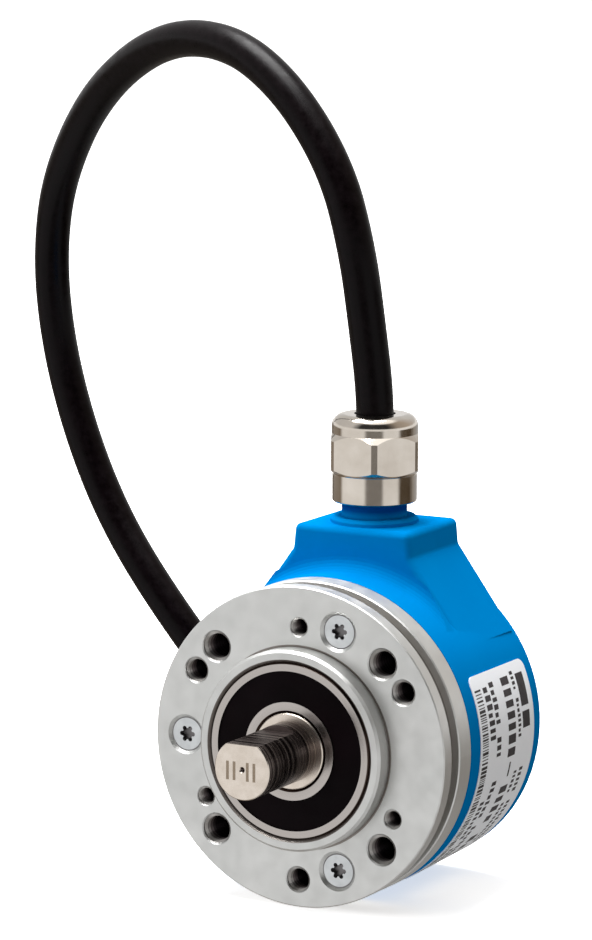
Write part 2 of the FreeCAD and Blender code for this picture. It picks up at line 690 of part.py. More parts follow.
def make_label():
    front, back, film = size("label_front"), size("label_back"), size("label_film")
    turn = ALONG_Y.multiply(FreeCAD.Rotation(Z_AXIS, -DIMENSIONS["label_top_angle"]))
    sector = primitive("Cone", "label_sector", Radius1=cup_at(front) + film,
                       Radius2=cup_at(back) + film, Height=back - front)
    bind(sector, "Angle", "label_sweep")
    place(sector, y=front, rotation=turn)
    core = cone("label_core", cup_at(front - 1), cup_at(back + 1), front - 1, back + 1)
    film_piece = cut("label_film", sector, core)
    thickness = DIMENSIONS["label_film"]
    corner = lambda edge: abs(edge.Length - thickness) < 0.02
    return rounded("type_label", film_piece, "label_corner", corner)


# ---------------------------------------------------------------- cable gland

def stand_on_pedestal(piece):
    return place(piece, y="gland_place")


def make_gland():
    parts = []
    chamfer = size("ring_chamfer")
    groove_top = size("neck_top") + 2 * size("o_ring_section") + 0.05
    parts.append(turned("gland_body", [
        ("passage_radius", "stub_bottom"), ("stub_radius", "stub_bottom"),
        ("stub_radius", groove_top), ("neck_radius", groove_top), ("neck_radius", "ring_bottom"),
        (size("ring_radius") - chamfer, "ring_bottom"),
        ("ring_radius", size("ring_bottom") + chamfer), ("ring_radius", size("ring_top") - chamfer),
        (size("ring_radius") - chamfer, "ring_top"), ("sleeve_radius", "ring_top"),
        ("sleeve_radius", "sleeve_top"), ("grommet_radius", "sleeve_top"),
        ("grommet_radius", "grommet_seat"), ("passage_radius", "grommet_seat")], "XZ_Plane"))
    parts.append(turned("gland_grommet", [
        ("cable_radius", "grommet_seat"), ("grommet_radius", "grommet_seat"),
        ("grommet_radius", "grommet_top"), ("cable_radius", "grommet_top")], "XZ_Plane"))
    parts.append(turned("gland_thrust_ring", [
        ("passage_radius", "grommet_top"), ("sleeve_radius", "grommet_top"),
        ("sleeve_radius", "thrust_top"), ("passage_radius", "thrust_top")], "XZ_Plane"))
    for part in parts:
        stand_on_pedestal(part)
    return parts + [make_cap_nut()]


def make_cap_nut():
    """A hexagon with turned-off corners under a round, softly edged crown."""
    bottom, hex_top = size("ring_top") + "nut_gap", size("nut_hex_top")
    corner, chamfer = size("nut_corner_radius"), size("nut_corner_chamfer")
    barrel = turned("nut_barrel", [
        (0, bottom), (corner - chamfer, bottom), (corner, bottom + "nut_foot_chamfer"),
        (corner, hex_top - "nut_top_chamfer"), (corner - chamfer, hex_top), (0, hex_top)], "XZ_Plane")
    stand_on_pedestal(barrel)
    prism = primitive("Prism", "nut_prism", Circumradius=size("nut_flats") / (2 * cosine(30)),
                      Height=hex_top - bottom)
    prism.Polygon = 6
    place(prism, 0, "gland_place", bottom, FreeCAD.Rotation(Z_AXIS, DIMENSIONS["nut_turn"]))
    hexagon = common("nut_hexagon", barrel, prism)
    crown = primitive("Cylinder", "nut_crown", Radius="nut_dome_radius",
                      Height=size("nut_top") - hex_top + 1)
    place(crown, 0, "gland_place", hex_top - 1)
    crown = rounded("nut_crown_round", crown, "nut_dome_round", at_height(DIMENSIONS["nut_top"]))
    bore = primitive("Cylinder", "nut_bore", Radius="nut_bore", Height=size("thrust_top") - bottom)
    place(bore, 0, "gland_place", bottom)
    mouth = primitive("Cylinder", "nut_mouth", Radius="nut_mouth", Height=size("nut_top") - bottom)
    place(mouth, 0, "gland_place", bottom)
    return cut("gland_cap_nut", fuse("nut_blank", hexagon, crown), bore, mouth)


def make_seal_rings():
    section = size("o_ring_section")
    middle = size("o_ring_start") + size("o_ring_groove") / 2
    cup_ring = ring_bead("housing_o_ring", size("spigot_radius") - section, section, middle)
    middle = (size("stub_radius") + "neck_radius") / 2
    gland_ring = primitive("Torus", "gland_o_ring", Radius1=middle, Radius2=section)
    place(gland_ring, 0, "gland_place", size("neck_top") + section)
    return [cup_ring, gland_ring]


# ---------------------------------------------------------------- cable

CABLE_ROUTE = [
    (0, 25.1, 49.25), (-0.1, 25, 53.5), (-0.8, 24.2, 61.8), (-1.6, 22.1, 74.9), (-6.2, 23.5, 88),
    (-16.7, 26.4, 100.2), (-30.6, 32.4, 106.8), (-47.8, 40.6, 106), (-66.4, 51.3, 96),
    (-79.7, 60.4, 80.6), (-84.6, 65, 65.6), (-83.7, 66.2, 50.2), (-78.4, 64.8, 35.2),
    (-71.4, 63.8, 21.5), (-60.9, 61.1, 9.3), (-45.8, 61.4, -8.1), (-36.5, 66.2, -16.6),
    (-27.5, 73, -21.1), (-20.5, 79.5, -22.4),
]


def make_cable():
    entry = primitive("Cylinder", "cable_entry", Radius="cable_radius",
                      Height=size("nut_top") - "jacket_end")
    place(entry, 0, "gland_place", "jacket_end")
    arch = shaped("cable_arch", tube(CABLE_ROUTE, DIMENSIONS["cable_radius"], "cable arch"))
    coil = primitive("Cylinder", "coil_disc", Radius="coil_outer", Height=2 * size("cable_radius"))
    hole = primitive("Cylinder", "coil_hole", Radius="coil_inner", Height=2 * size("cable_radius"))
    for piece in (coil, hole):
        place(piece, "coil_x", "coil_y", -size("floor_depth"))
    band = make_tie_band()
    return [entry, arch, cut("cable_coil", cut("coil_ring", coil, hole), band[0]), band[1],
            make_lead_ends()]


def make_tie_band():
    """The tie round the coil's section on its far side, as a solid block to cut and as a loop."""
    inner, outer = size("coil_inner"), size("coil_outer")
    thick, half = size("tie_thickness"), size("tie_width") / 2
    low, high = -size("floor_depth"), -size("floor_depth") + 2 * size("cable_radius")
    x, y = size("coil_x"), size("coil_y")
    around = (y + inner - thick, y + outer + thick)
    outside = block("tie_outside", (x - half, x + half), around, (low, high + thick))
    window = block("tie_window", (x - half - 1, x + half + 1), (y + inner, y + outer),
                   (low + thick, high))
    loop = cut("tie_loop", outside, window)
    head = block("tie_head", (x - half - 0.7, x + half + 0.7), (y + inner + 2, y + inner + 6),
                 (high, high + thick + 1.6))
    return loop, fuse("cable_tie", loop, head)


def make_lead_ends():
    """The six stripped cores at the free end, side by side on the floor inside the coil."""
    radius = size("lead_radius")
    cores = []
    for number in range(6):
        core = primitive("Cylinder", "free_core_%d" % number, Radius=radius, Height="lead_length")
        turn = FreeCAD.Rotation(Z_AXIS, 80 - 4 * (number - 2.5))
        turn = turn.multiply(ALONG_Y)
        shift = (number - 2.5) * 1.3
        cores.append(place(core, size("lead_x") + 0.18 * shift, size("lead_y") + shift,
                           -size("floor_depth") + radius, turn))
    return group("lead_ends", *cores)


# ---------------------------------------------------------------- the assembly

def make_all():
    parts = [make_flange(), make_flange_screws(), make_shaft()]
    parts += make_bearing("front", "front_bearing")
    parts += make_bearing("rear", "rear_bearing")
    parts.append(washer("preload_wave_washer", "washer_inner", "washer_outer", "washer_start",
                        "rear_bearing"))
    parts.append(washer("shaft_circlip", "circlip_groove", "circlip_radius", "circlip_start",
                        size("circlip_start") + "circlip_width"))
    hub, disc_back = make_disc_hub()
    parts += [hub, make_set_screws()]
    parts.append(washer("code_disc", "hub_nose", "disc_radius", "disc_start", disc_back))
    parts.append(washer("disc_clamp_ring", "hub_nose", "clamp_radius", disc_back,
                        disc_back + "clamp_thickness"))
    parts += make_scanning_unit()
    parts.append(make_board())
    parts += make_board_fixings()
    parts += make_board_components()
    parts.append(make_inner_leads())
    parts += [make_housing(), make_label()]
    parts += make_gland()
    parts += make_seal_rings()
    parts += make_cable()
    return parts


def check_and_write(parts):
    for item in doc.Objects:
        if "Invalid" in item.State or "Error" in item.State:
            raise RuntimeError("%s failed: %s" % (item.Name, item.State))
    for part in parts:
        if part.Shape.isNull() or not part.Shape.isValid() or not part.Shape.Solids:
            raise RuntimeError("%s has no valid shape" % part.Label)
    os.makedirs("parts", exist_ok=True)
    for part in parts:
        part.Shape.exportStep("parts/%s.step" % part.Label)
    print(len(parts), "parts written")


PARTS = make_all()
doc.recompute()
check_and_write(PARTS)
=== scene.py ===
import math
import random

import bmesh
import bpy
from mathutils import Matrix, Vector


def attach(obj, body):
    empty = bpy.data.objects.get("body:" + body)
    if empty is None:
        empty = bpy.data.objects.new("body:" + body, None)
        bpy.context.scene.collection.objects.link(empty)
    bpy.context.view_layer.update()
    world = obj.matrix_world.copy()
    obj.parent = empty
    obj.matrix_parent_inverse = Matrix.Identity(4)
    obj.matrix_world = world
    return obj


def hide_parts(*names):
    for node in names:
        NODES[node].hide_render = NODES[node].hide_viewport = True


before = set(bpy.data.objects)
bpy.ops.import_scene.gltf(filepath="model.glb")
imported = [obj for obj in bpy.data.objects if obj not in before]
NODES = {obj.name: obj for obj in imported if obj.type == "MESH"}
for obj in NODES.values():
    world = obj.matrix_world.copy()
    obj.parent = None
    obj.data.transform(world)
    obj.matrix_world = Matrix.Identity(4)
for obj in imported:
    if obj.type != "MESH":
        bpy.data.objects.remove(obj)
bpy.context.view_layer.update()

# Rotary encoder with a face-mount flange, a blue cup and a cable that arches up out of its gland.
# The shaft turns about Y, and the origin lies on it in the mounting face. +Z points to the gland.
# Blender's units are metres. Sizes and places of the object's own parts are millimetres, times MM.

MM = 0.001
FLOOR_Z = -25.4
GLAND_PLACE, NUT_TOP = 25.1, 49.25
SHAFT_FACE = -18.0
CABLE_RADIUS = 3.0
# where the free cores leave the jacket, how their fan runs and spreads along X, and its first pitch
LEAD_START = (-24.5, 111.5)
LEAD_LEAN, LEAD_SLANT, LEAD_SPREAD, LEAD_PITCH, LEAD_TINNED = 0.985, 0.174, 0.0687, 1.3, 21
SCREW_CIRCLE, SCREW_ANGLES = 20.1, (70, 180, -70)


def polar(radius, angle):
    """Two coordinates from a radius and an angle in degrees."""
    return radius * math.cos(math.radians(angle)), radius * math.sin(math.radians(angle))


# ---------------------------------------------------------------- camera and light

def turn(angle, axis):
    """A rotation in degrees about one axis."""
    return Matrix.Rotation(math.radians(angle), 4, axis)


def add_camera():
    """The camera fitted to the photograph."""
    data = bpy.data.cameras.new("camera")
    data.sensor_fit = "VERTICAL"
    data.sensor_height = 36
    data.lens = 180
    data.clip_start = 0.01
    camera = bpy.data.objects.new("camera", data)
    bpy.context.collection.objects.link(camera)
    azimuth, elevation, roll = 28.512, 9.108, 0.155
    place = Matrix.Translation((0.340116, -0.627118, 0.158016))
    camera.matrix_world = place @ turn(azimuth, "Z") @ turn(90 - elevation, "X") @ turn(roll, "Z")
    bpy.context.scene.camera = camera


def add_light(name, place, target, size, power, mirrored=True):
    """A square soft box that faces its target, in metres and watts."""
    data = bpy.data.lights.new(name, "AREA")
    data.shape = "RECTANGLE"
    data.size = data.size_y = size
    data.energy = power
    light = bpy.data.objects.new(name, data)
    light.visible_glossy = mirrored
    light.location = place
    heading = Vector(target) - Vector(place)
    light.rotation_euler = heading.to_track_quat("-Z", "Y").to_euler()
    bpy.context.collection.objects.link(light)


def add_world():
    """A studio painted by direction: soft boxes left, right and overhead, dark gaps between them.

    Below the horizon the floor hides it from the camera, and only reflections see it.
    """
    world = bpy.data.worlds.new("world")
    world.use_nodes = True
    tree = world.node_tree
    background = tree.nodes["Background"]

    def node(kind, *inputs, **settings):
        item = tree.nodes.new("ShaderNode" + kind)
        for key, amount in settings.items():
            setattr(item, key, amount)
        for socket, source in zip(item.inputs, inputs):
            if isinstance(source, bpy.types.NodeSocket):
                tree.links.new(source, socket)
            elif source is not None:
                socket.default_value = source
        return item

    def math_node(operation, *inputs):
        return node("Math", *inputs, operation=operation).outputs[0]

    def ramp(value, stops):
        item = node("ValToRGB", value)
        elements = item.color_ramp.elements
        elements[0].position, elements[0].color = stops[0][0], (*stops[0][1], 1)
        elements[1].position, elements[1].color = stops[-1][0], (*stops[-1][1], 1)
        for position, colour in stops[1:-1]:
            elements.new(position).color = (*colour, 1)
        return item.outputs["Color"]

    def mixed(factor, first, second):
        item = node("MixRGB", factor, first, second)
        return item.outputs[0]

    def step(value, start, end):
        item = node("MapRange", value, start, end, 0.0, 1.0, interpolation_type="SMOOTHSTEP")
        return item.outputs["Result"]

    def grey(level, warmth=0.0):
        return (level * (1 + warmth), level, level * (1 - warmth))

    def around(stops):
        """Stops by compass angle in degrees, anticlockwise from +X."""
        return [((angle + 180) / 360, colour) for angle, colour in stops]

    direction = node("TexCoord").outputs["Generated"]
    parts = node("SeparateXYZ", direction).outputs
    angle = math_node("ARCTAN2", parts["Y"], parts["X"])
    compass = math_node("MULTIPLY_ADD", angle, 1 / (2 * math.pi), 0.5)
    height = parts["Z"]
    low = ramp(compass, around([
        (-180, grey(0.26, 0.15)), (-168, grey(0.20, 0.2)), (-158, grey(0.95)), (-92, grey(0.95)),
        (-84, grey(0.24, 0.05)), (-44, grey(0.24, 0.05)), (-37, grey(0.9)), (2, grey(0.9)),
        (12, grey(0.07, 0.35)), (48, grey(0.06, 0.35)), (62, grey(0.3, 0.1)), (90, grey(0.45)),
        (120, grey(0.3, 0.1)), (179, grey(0.26, 0.15))]))
    high = ramp(compass, around([
        (-180, grey(0.7)), (-130, grey(0.75)), (-105, grey(0.04)), (-25, grey(0.03)),
        (5, grey(0.35, 0.15)), (40, grey(0.42, 0.15)), (90, grey(0.7)), (179, grey(0.7))]))
    overhead = step(height, 0.80, 0.92)
    upper = mixed(overhead, high, (1.5, 1.5, 1.5, 1))
    horizon = mixed(step(height, 0.10, 0.22), (1, 1, 1, 1), upper)
    whole = mixed(step(height, -0.06, -0.02), low, horizon)
    tree.links.new(whole, background.inputs["Color"])
    background.inputs["Strength"].default_value = 1.0
    bpy.context.scene.world = world


# ---------------------------------------------------------------- materials

class Shader:
    """A principled material that is built node by node, all of it placed by object coordinates."""

    def __init__(self, name, colour, metallic=0.0, roughness=0.5, **sockets):
        self.material = bpy.data.materials.new(name)
        self.material.use_nodes = True
        self.tree = self.material.node_tree
        self.shader = self.tree.nodes["Principled BSDF"]
        self.shader.inputs["Base Color"].default_value = (*colour, 1)
        self.shader.inputs["Metallic"].default_value = metallic
        self.shader.inputs["Roughness"].default_value = roughness
        for key, amount in sockets.items():
            self.shader.inputs[key.replace("_", " ")].default_value = amount
        self.place = self.tree.nodes.new("ShaderNodeTexCoord").outputs["Object"]
        self.normal = None

    def node(self, kind, **settings):
        item = self.tree.nodes.new("ShaderNode" + kind)
        for key, amount in settings.items():
            setattr(item, key, amount)
        return item

    def link(self, output, socket):
        self.tree.links.new(output, socket)

    def axes(self):
        """The three object coordinates, each on its own."""
        split = self.node("SeparateXYZ")
        self.link(self.place, split.inputs[0])
        return split.outputs

    def maths(self, operation, *inputs):
        item = self.node("Math", operation=operation)
        for socket, source in zip(item.inputs, inputs):
            if isinstance(source, bpy.types.NodeSocket):
                self.link(source, socket)
            else:
                socket.default_value = source
        return item.outputs[0]

    def colours(self, value, stops, interpolation="LINEAR"):
        """A colour ramp of (place, colour) stops."""
        item = self.node("ValToRGB")
        ramp = item.color_ramp
        ramp.interpolation = interpolation
        ramp.elements[0].position, ramp.elements[0].color = stops[0][0], (*stops[0][1], 1)
        ramp.elements[1].position, ramp.elements[1].color = stops[-1][0], (*stops[-1][1], 1)
        for position, colour in stops[1:-1]:
            ramp.elements.new(position).color = (*colour, 1)
        self.link(value, item.inputs["Fac"])
        return item.outputs["Color"]

    def radius(self):
        """The distance from the shaft axis."""
        axes = self.axes()
        squares = [self.maths("MULTIPLY", axes[name], axes[name]) for name in ("X", "Z")]
        return self.maths("SQRT", self.maths("ADD", *squares))

    def around(self):
        """Coordinates for a turned piece: radius and place along Y, the same all round."""
        result = self.node("CombineXYZ")
        self.link(self.radius(), result.inputs["X"])
        self.link(self.axes()["Y"], result.inputs["Y"])
        return result.outputs[0]

    def band(self, value, start, end, soft=0.03):
        """One between two sizes in millimetres, nought outside them."""
        rise = self.mapped(value, 0, 1, (start - soft) * MM, (start + soft) * MM)
        fall = self.mapped(value, 1, 0, (end - soft) * MM, (end + soft) * MM)
        return self.maths("MULTIPLY", rise, fall)

    def shaded(self, colour, mask, shade):
        """The colour multiplied by a shade where the mask is one."""
        item = self.node("MixRGB", blend_type="MULTIPLY")
        self.link(mask, item.inputs[0])
        self.link(colour, item.inputs[1])
        item.inputs[2].default_value = (*shade, 1)
        self.link(item.outputs[0], self.shader.inputs["Base Color"])

    def noise(self, scale, detail=3.0, vector=None, roughness=0.5):
        item = self.node("TexNoise")
        item.inputs["Scale"].default_value = scale
        item.inputs["Detail"].default_value = detail
        item.inputs["Roughness"].default_value = roughness
        self.link(vector or self.place, item.inputs["Vector"])
        return item.outputs["Fac"]

    def mapped(self, value, low, high, start=0.3, end=0.7):
        item = self.node("MapRange")
        item.inputs["From Min"].default_value = start
        item.inputs["From Max"].default_value = end
        item.inputs["To Min"].default_value = low
        item.inputs["To Max"].default_value = high
        self.link(value, item.inputs["Value"])
        return item.outputs["Result"]

    def tint(self, value, dark, light, start=0.3, end=0.7):
        """Base colour from dark to light as the value rises."""
        item = self.node("ValToRGB")
        item.color_ramp.elements[0].position = start
        item.color_ramp.elements[1].position = end
        item.color_ramp.elements[0].color = (*dark, 1)
        item.color_ramp.elements[1].color = (*light, 1)
        self.link(value, item.inputs["Fac"])
        self.link(item.outputs["Color"], self.shader.inputs["Base Color"])
        return item.outputs["Color"]

    def rough(self, value, low, high, start=0.3, end=0.7):
        self.link(self.mapped(value, low, high, start, end), self.shader.inputs["Roughness"])

    def bump(self, value, height, strength=1.0):
        item = self.node("Bump")
        item.inputs["Distance"].default_value = height
        item.inputs["Strength"].default_value = strength
        self.link(value, item.inputs["Height"])
        if self.normal is not None:
            self.link(self.normal, item.inputs["Normal"])
        self.normal = item.outputs["Normal"]
        self.link(self.normal, self.shader.inputs["Normal"])


def blasted_aluminium():
    """Bead-blasted all over; painted shade darkens the groove, the relief and the collar's edge."""
    item = Shader("blasted_aluminium", (0.68, 0.675, 0.66), 1.0, 0.45)
    cloud = item.tint(item.noise(90, 4), (0.655, 0.66, 0.645), (0.73, 0.73, 0.715))
    radius, place = item.radius(), item.axes()["Y"]
    # painted shade: the groove floor, the relief and the collar's inner edge are darkened in the
    # base colour
    groove = item.maths("MULTIPLY", item.band(radius, 23.5, 24.15), item.band(place, 2.6, 5.2))
    relief = item.maths("MULTIPLY", item.band(radius, 15.8, 16.22), item.band(place, 0.04, 0.5))
    edge = item.maths("MULTIPLY", item.band(radius, 13.8, 14.42), item.band(place, -3.6, -2.7))
    dark = item.maths("MAXIMUM", item.maths("MAXIMUM", groove, relief), edge)
    item.shaded(cloud, dark, (0.42, 0.38, 0.36))
    item.rough(item.noise(400, 3), 0.40, 0.52)
    item.bump(item.noise(5200, 2), 0.02 * MM, 0.35)
    return item.material


def turned_metal(name, dark, light, rough_low, rough_high):
    """Fine rings left by the tool, the same all round the shaft axis."""
    item = Shader(name, light, 1.0, rough_high)
    rings = item.noise(1500, 2, item.around())
    item.tint(item.noise(450, 2, item.around()), dark, light)
    item.rough(rings, rough_low, rough_high)
    item.bump(rings, 0.004 * MM, 0.3)
    return item.material


def bearing_steel():
    """Polished rings with painted shade in the corners where they meet the shaft and the collar."""
    item = Shader("bearing_steel", (0.5, 0.47, 0.44), 1.0, 0.2)
    steel = item.tint(item.noise(500, 2, item.around()), (0.43, 0.40, 0.375), (0.51, 0.47, 0.445))
    radius = item.radius()
    # painted shade: dark bands at the corners by the shaft and by the collar stand in for shadow
    corners = item.maths("MAXIMUM", item.band(radius, 5.8, 6.42), item.band(radius, 13.70, 14.2))
    item.shaded(steel, corners, (0.10, 0.07, 0.06))
    item.rough(item.noise(1500, 2, item.around()), 0.16, 0.26)
    return item.material


def shaft_steel():
    """Tan faced end and shoulder; the side has turning rings and painted dark reflection in bands.
    """
    item = Shader("shaft_steel", (0.66, 0.60, 0.54), 1.0, 0.3)
    place = item.axes()["Y"]
    along = item.node("CombineXYZ")
    item.link(place, along.inputs["Y"])
    bands = item.noise(1300, 2, along.outputs[0])
    # painted reflection: the side's very dark banded base colour stands in for dark surroundings
    # mirrored in the steel
    side = item.colours(bands, [(0.36, (0.06, 0.045, 0.045)), (0.5, (0.15, 0.12, 0.115)),
                                (0.64, (0.44, 0.38, 0.35))])
    faced = item.colours(item.noise(700, 4), [(0.3, (0.68, 0.60, 0.52)), (0.7, (0.78, 0.70, 0.62))])
    mixed = item.node("MixRGB")
    item.link(item.band(place, -17.86, -3.28, 0.02), mixed.inputs[0])
    item.link(faced, mixed.inputs[1])
    item.link(side, mixed.inputs[2])
    item.link(mixed.outputs[0], item.shader.inputs["Base Color"])
    item.rough(bands, 0.2, 0.34)
    item.bump(bands, 0.02 * MM, 0.35)
    return item.material


def socket_screw():
    """Zinc plate, with painted shade down the socket and round the rim of each head."""
    item = Shader("socket_screw", (0.66, 0.67, 0.67), 1.0, 0.35)
    plate = item.tint(item.noise(500, 4), (0.58, 0.60, 0.61), (0.68, 0.70, 0.71))
    axes = item.axes()
    nearest = None
    for angle in SCREW_ANGLES:
        parts = []
        for name, amount in zip("XZ", polar(SCREW_CIRCLE, angle)):
            part = item.maths("SUBTRACT", axes[name], amount * MM)
            parts.append(item.maths("MULTIPLY", part, part))
        reach = item.maths("SQRT", item.maths("ADD", *parts))
        nearest = reach if nearest is None else item.maths("MINIMUM", nearest, reach)
    # painted shade: a dark ring round each head's rim and a dark socket stand in for shadow in the
    # gap and the recess
    rim = item.band(nearest, 2.56, 3.0, 0.04)
    socket = item.band(axes["Y"], 0.7, 30, 0.2)
    item.shaded(plate, item.maths("MAXIMUM", rim, socket), (0.28, 0.26, 0.26))
    item.rough(item.noise(900, 3), 0.3, 0.45)
    item.bump(item.noise(2500, 2), 0.006 * MM, 0.25)
    return item.material


def plated_metal(name, dark, light, rough_low, rough_high):
    """Smooth metal with faint patches in its shine."""
    item = Shader(name, light, 1.0, rough_high)
    item.tint(item.noise(220, 4), dark, light)
    item.rough(item.noise(900, 3), rough_low, rough_high)
    item.bump(item.noise(2500, 2), 0.006 * MM, 0.25)
    return item.material


def blue_paint():
    """A saturated blue with the fine orange-peel of powder coat, painted shade up under the gland.
    """
    item = Shader("blue_paint", (0.0, 0.185, 0.50), 0.0, 0.5, Specular_IOR_Level=0.0)
    blue = item.tint(item.noise(60, 3), (0.0, 0.178, 0.488), (0.0, 0.192, 0.512))
    # painted shade: the paint darkens up the neck under the gland
    item.shaded(blue, item.mapped(item.axes()["Z"], 0, 1, 33.4 * MM, 34.2 * MM), (1, 0.3, 0.5))
    item.rough(item.noise(1400, 2), 0.38, 0.55)
    item.bump(item.noise(1100, 3), 0.035 * MM, 0.55)
    return item.material


def moulded(name, dark, light, rough_low, rough_high, grain=1800.0, height=0.01, specular=0.3):
    """Plastic or rubber with a faint grain."""
    item = Shader(name, light, 0.0, rough_high, Specular_IOR_Level=specular)
    item.tint(item.noise(150, 3), dark, light)
    item.rough(item.noise(600, 3), rough_low, rough_high)
    item.bump(item.noise(grain, 3), height * MM, 0.5)
    return item.material


def cable_jacket():
    """Satin black sheath with scuffs."""
    item = Shader("cable_jacket", (0.003, 0.001, 0.0015), 0.0, 0.5, Specular_IOR_Level=0.09)
    scuffs = item.noise(700, 5, roughness=0.65)
    item.tint(scuffs, (0.0016, 0.0005, 0.0008), (0.005, 0.0025, 0.0034), 0.35, 0.75)
    item.rough(scuffs, 0.26, 0.42)
    item.bump(item.noise(2600, 3), 0.02 * MM, 0.5)
    return item.material


def thread_metal():
    """Cut aluminium with painted shade that deepens down the hole."""
    item = Shader("cut_thread", (0.6, 0.6, 0.58), 1.0, 0.35)
    depth = item.maths("MULTIPLY", item.axes()["Y"], 1 / (6 * MM))
    # painted shade: the base colour falls from bright at the mouth to near black deeper in
    shade = item.colours(depth, [(0.0, (0.66, 0.65, 0.63)), (0.13, (0.50, 0.48, 0.46)),
                                 (0.33, (0.13, 0.11, 0.11)), (0.55, (0.010, 0.008, 0.009))])
    item.link(shade, item.shader.inputs["Base Color"])
    item.rough(depth, 0.5, 0.3, 0.0, 0.2)
    item.bump(item.noise(4000, 2), 0.004 * MM, 0.3)
    return item.material


def core_colours():
    """Six insulated cores side by side, each in its own colour, with tinned ends."""
    item = Shader("core_colours", (0.5, 0.5, 0.5), 0.0, 0.45, Specular_IOR_Level=0.4)
    axes = item.axes()
    back = item.maths("SUBTRACT", LEAD_START[0] * MM, axes["X"])
    along = item.maths("MULTIPLY", back, 1 / LEAD_LEAN)
    middle = item.maths("MULTIPLY_ADD", along, LEAD_SLANT, LEAD_START[1] * MM)
    drift = item.maths("SUBTRACT", axes["Y"], middle)
    pitch = item.maths("MULTIPLY_ADD", along, LEAD_SPREAD, LEAD_PITCH * MM)
    place = item.maths("MULTIPLY_ADD", item.maths("DIVIDE", drift, pitch), 1 / 6, 0.5)
    inks = ((0.16, 0.05, 0.02), (0.75, 0.75, 0.73), (0.015, 0.015, 0.015), (0.70, 0.22, 0.32),
            (0.70, 0.52, 0.03), (0.30, 0.16, 0.42))
    stops = [(number / 6, ink) for number, ink in enumerate(inks)]
    insulation = item.colours(place, stops, "CONSTANT")
    bare = item.maths("GREATER_THAN", along, LEAD_TINNED * MM)
    mixed = item.node("MixRGB")
    item.link(bare, mixed.inputs[0])
    item.link(insulation, mixed.inputs[1])
    mixed.inputs[2].default_value = (0.62, 0.60, 0.57, 1)
    item.link(mixed.outputs[0], item.shader.inputs["Base Color"])
    item.link(bare, item.shader.inputs["Metallic"])
    item.rough(item.noise(900, 3), 0.32, 0.5)
    item.bump(item.noise(2200, 3), 0.01 * MM, 0.4)
    return item.material


def clear(name, colour, transmission):
    """Glass or clear plastic."""
    item = Shader(name, colour, 0.0, 0.12, Transmission_Weight=transmission, IOR=1.5)
    item.rough(item.noise(300, 2), 0.08, 0.18)
    return item.material


def make_materials():
    dark_steel = ((0.10, 0.095, 0.09), (0.16, 0.155, 0.15))
    return {
        "aluminium": blasted_aluminium(),
        "paint": blue_paint(),
        "shaft": shaft_steel(),
        "bearing": bearing_steel(),
        "hub": turned_metal("turned_aluminium", (0.62, 0.62, 0.61), (0.76, 0.76, 0.75), 0.25, 0.4),
        "nickel": plated_metal("nickel_plate", (0.60, 0.54, 0.47), (0.71, 0.65, 0.58), 0.09, 0.16),
        "socket_screw": socket_screw(),
        "zinc": plated_metal("zinc_plate", (0.55, 0.54, 0.52), (0.70, 0.69, 0.67), 0.28, 0.42),
        "spring": plated_metal("spring_steel", *dark_steel, 0.3, 0.45),
        "ball": plated_metal("polished_ball", (0.75, 0.75, 0.75), (0.85, 0.85, 0.85), 0.05, 0.1),
        "brass": plated_metal("brass", (0.62, 0.45, 0.20), (0.75, 0.57, 0.28), 0.25, 0.4),
        "rubber": moulded("seal_rubber", (0.0022, 0.0008, 0.0013), (0.005, 0.0022, 0.0032),
                          0.45, 0.6, specular=0.05),
        "black": moulded("black_plastic", (0.012, 0.012, 0.013), (0.025, 0.025, 0.027), 0.35, 0.5),
        "nylon": moulded("natural_nylon", (0.62, 0.58, 0.46), (0.72, 0.68, 0.56), 0.4, 0.55),
        "cream": moulded("cream_plastic", (0.70, 0.67, 0.58), (0.78, 0.75, 0.66), 0.35, 0.5),
        "board": moulded("board_mask", (0.005, 0.10, 0.035), (0.010, 0.14, 0.05), 0.25, 0.4),
        "jacket": cable_jacket(),
        "glass": clear("disc_glass", (0.85, 0.9, 0.92), 0.9),
        "lens": clear("clear_lens", (0.9, 0.92, 0.95), 0.95),
        "label": moulded("label_film", (0.90, 0.93, 0.98), (0.93, 0.96, 1.0), 0.3, 0.4, 900, 0.004),
        "core": moulded("core_insulation", (0.50, 0.04, 0.03), (0.60, 0.06, 0.05), 0.35, 0.5),
        "free_cores": core_colours(),
        "thread": thread_metal(),
        "ink": moulded("label_ink", (0.012, 0.009, 0.011), (0.028, 0.022, 0.026), 0.4, 0.55),
        "etch": moulded("etched_mark", (0.30, 0.23, 0.165), (0.38, 0.30, 0.22), 0.4, 0.55, 3000),
    }


NODE_MATERIAL = {
    "flange": "aluminium", "housing": "paint", "housing_o_ring": "rubber",
    "flange_screws": "socket_screw", "type_label": "label", "shaft": "shaft",
    "preload_wave_washer": "spring",
    "shaft_circlip": "spring", "disc_hub": "hub", "hub_set_screws": "spring", "code_disc": "glass",
    "disc_clamp_ring": "hub", "emitter_holder": "black", "emitter_lens": "lens",
    "sensor_head": "black", "circuit_board": "board", "board_standoffs": "brass",
    "board_screws": "zinc", "board_components": "black", "lead_connector": "cream",
    "inner_leads": "core", "gland_body": "nickel", "gland_o_ring": "rubber",
    "gland_cap_nut": "nickel", "gland_grommet": "rubber", "gland_thrust_ring": "black",
    "cable_entry": "jacket", "cable_arch": "jacket", "cable_coil": "jacket", "cable_tie": "black",
    "lead_ends": "free_cores",
}
for end in ("front", "rear"):
    NODE_MATERIAL.update({
        end + "_outer_ring": "bearing", end + "_inner_ring": "bearing", end + "_balls": "ball",
        end + "_cage": "nylon", end + "_outboard_seal": "rubber", end + "_inboard_seal": "rubber",
    })


